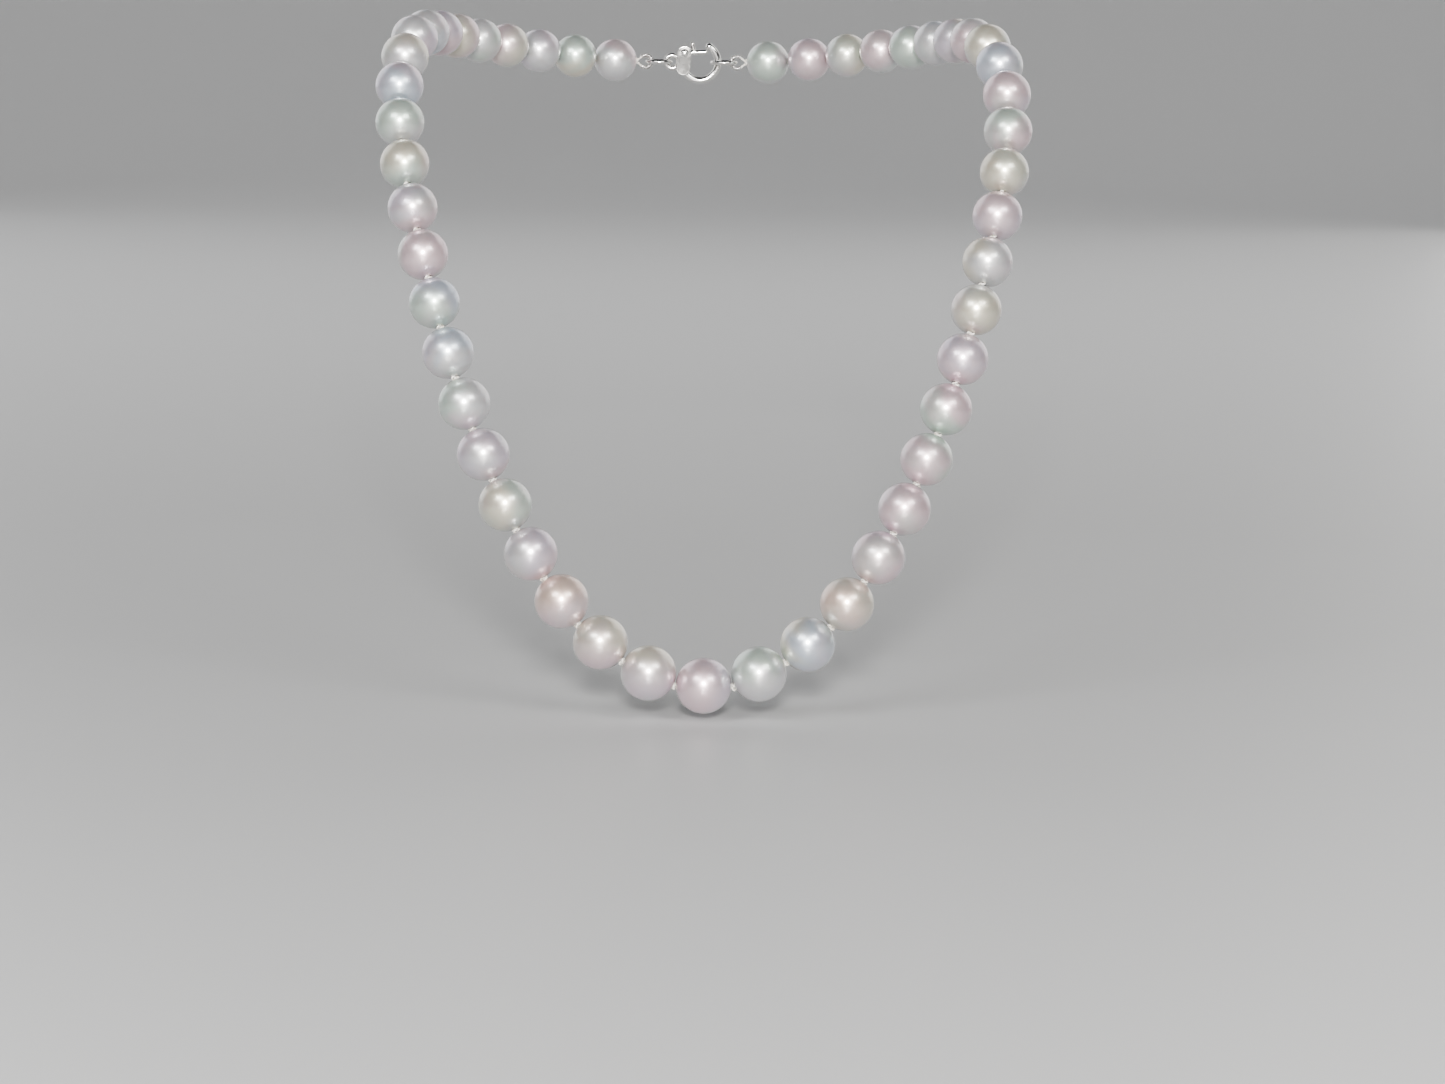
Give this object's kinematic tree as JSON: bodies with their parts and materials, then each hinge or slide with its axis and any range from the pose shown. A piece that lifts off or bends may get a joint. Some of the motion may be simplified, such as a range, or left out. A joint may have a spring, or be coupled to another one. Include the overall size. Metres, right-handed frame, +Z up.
{
  "type": "pearl necklace",
  "caption": "Single graduated strand of round drilled pearls, knotted on silk and closed behind the neck by a small sprung lobster clasp.",
  "frame": {"origin": "on the axis of the neck that wears it, at the height of the nape, where the clasp lies", "axes": "+X to the right as seen from the front, +Y from the throat to the nape, +Z up along the neck"},
  "size_m": [0.1136, 0.1169, 0.1149],
  "materials": {
    "nacre": "high lustre nacre, white with soft pink, green and cream overtones",
    "silk": "twisted natural white silk",
    "gimp": "fine coiled silver wire",
    "silver": "polished silver",
    "spring_steel": "drawn wire"
  },
  "bodies": {
    "clasp": {"clasp_body": "silver", "clasp_rivet": "silver", "clasp_spring": "spring_steel", "left_link_ring": "silver", "right_link_ring": "silver", "left_gimp": "gimp", "right_gimp": "gimp", "left_thread_loop": "silk", "right_thread_loop": "silk", "silk_thread": "silk"},
    "lever": {"clasp_lever": "silver"},
    "rows_24_18": {"pearl_left_24": "nacre", "pearl_right_24": "nacre", "pearl_left_23": "nacre", "pearl_right_23": "nacre", "pearl_left_22": "nacre", "pearl_right_22": "nacre", "pearl_left_21": "nacre", "pearl_right_21": "nacre", "pearl_left_20": "nacre", "pearl_right_20": "nacre", "pearl_left_19": "nacre", "pearl_right_19": "nacre", "pearl_left_18": "nacre", "pearl_right_18": "nacre"},
    "rows_17_13": {"pearl_left_17": "nacre", "pearl_right_17": "nacre", "pearl_left_16": "nacre", "pearl_right_16": "nacre", "pearl_left_15": "nacre", "pearl_right_15": "nacre", "pearl_left_14": "nacre", "pearl_right_14": "nacre", "pearl_left_13": "nacre", "pearl_right_13": "nacre"},
    "rows_12_10": {"pearl_left_12": "nacre", "pearl_right_12": "nacre", "pearl_left_11": "nacre", "pearl_right_11": "nacre", "pearl_left_10": "nacre", "pearl_right_10": "nacre"},
    "rows_09_08": {"pearl_left_09": "nacre", "pearl_right_09": "nacre", "pearl_left_08": "nacre", "pearl_right_08": "nacre"},
    "rows_07_06": {"pearl_left_07": "nacre", "pearl_right_07": "nacre", "pearl_left_06": "nacre", "pearl_right_06": "nacre"},
    "row_05": {"pearl_left_05": "nacre", "pearl_right_05": "nacre"},
    "row_04": {"pearl_left_04": "nacre", "pearl_right_04": "nacre"},
    "row_03": {"pearl_left_03": "nacre", "pearl_right_03": "nacre"},
    "row_02": {"pearl_left_02": "nacre", "pearl_right_02": "nacre"},
    "row_01": {"pearl_left_01": "nacre", "pearl_right_01": "nacre"},
    "centre": {"pearl_centre": "nacre"}
  },
  "joints": [
    {"name": "lift_24", "type": "hinge", "parent": "clasp", "child": "rows_24_18", "pos_m": [0, 0.04917, 0.00016], "axis": [-1, 0, 0], "range_deg": [0, 10], "deforming": ["silk_thread"]},
    {"name": "lift_17", "type": "hinge", "parent": "rows_24_18", "child": "rows_17_13", "pos_m": [0, 0.00789, 0.00619], "axis": [-1, 0, 0], "range_deg": [0, 20], "deforming": ["silk_thread"]},
    {"name": "lift_12", "type": "hinge", "parent": "rows_17_13", "child": "rows_12_10", "pos_m": [0, -0.02867, -0.01161], "axis": [-1, 0, 0], "range_deg": [0, 20], "deforming": ["silk_thread"]},
    {"name": "lift_09", "type": "hinge", "parent": "rows_12_10", "child": "rows_09_08", "pos_m": [0, -0.04252, -0.03369], "axis": [-1, 0, 0], "range_deg": [0, 18], "deforming": ["silk_thread"]},
    {"name": "lift_07", "type": "hinge", "parent": "rows_09_08", "child": "rows_07_06", "pos_m": [0, -0.04898, -0.04987], "axis": [-1, 0, 0], "range_deg": [0, 18], "deforming": ["silk_thread"]},
    {"name": "lift_05", "type": "hinge", "parent": "rows_07_06", "child": "row_05", "pos_m": [0, -0.0535, -0.06642], "axis": [-1, 0, 0], "range_deg": [0, 12], "deforming": ["silk_thread"]},
    {"name": "lift_04", "type": "hinge", "parent": "row_05", "child": "row_04", "pos_m": [0, -0.05586, -0.07452], "axis": [-1, 0, 0], "range_deg": [0, 12], "deforming": ["silk_thread"]},
    {"name": "lift_03", "type": "hinge", "parent": "row_04", "child": "row_03", "pos_m": [0, -0.05767, -0.08239], "axis": [-1, 0, 0], "range_deg": [0, 12], "deforming": ["silk_thread"]},
    {"name": "lift_02", "type": "hinge", "parent": "row_03", "child": "row_02", "pos_m": [0, -0.0589, -0.08991], "axis": [-1, 0, 0], "range_deg": [0, 12], "deforming": ["silk_thread"]},
    {"name": "lift_01", "type": "hinge", "parent": "row_02", "child": "row_01", "pos_m": [0, -0.05979, -0.09584], "axis": [-1, 0, 0], "range_deg": [0, 12], "deforming": ["silk_thread"]},
    {"name": "lift_centre", "type": "hinge", "parent": "row_01", "child": "centre", "pos_m": [0, -0.0603, -0.0999], "axis": [-1, 0, 0], "range_deg": [0, 12], "deforming": ["silk_thread"]},
    {"name": "lever_pivot", "type": "hinge", "parent": "clasp", "child": "lever", "pos_m": [-0.00132, 0.04917, 0.00186], "axis": [0, 1, 0], "range_deg": [0, 14], "stiffness_Nm_per_rad": 0.002, "springref_deg": -11.46}
  ]
}
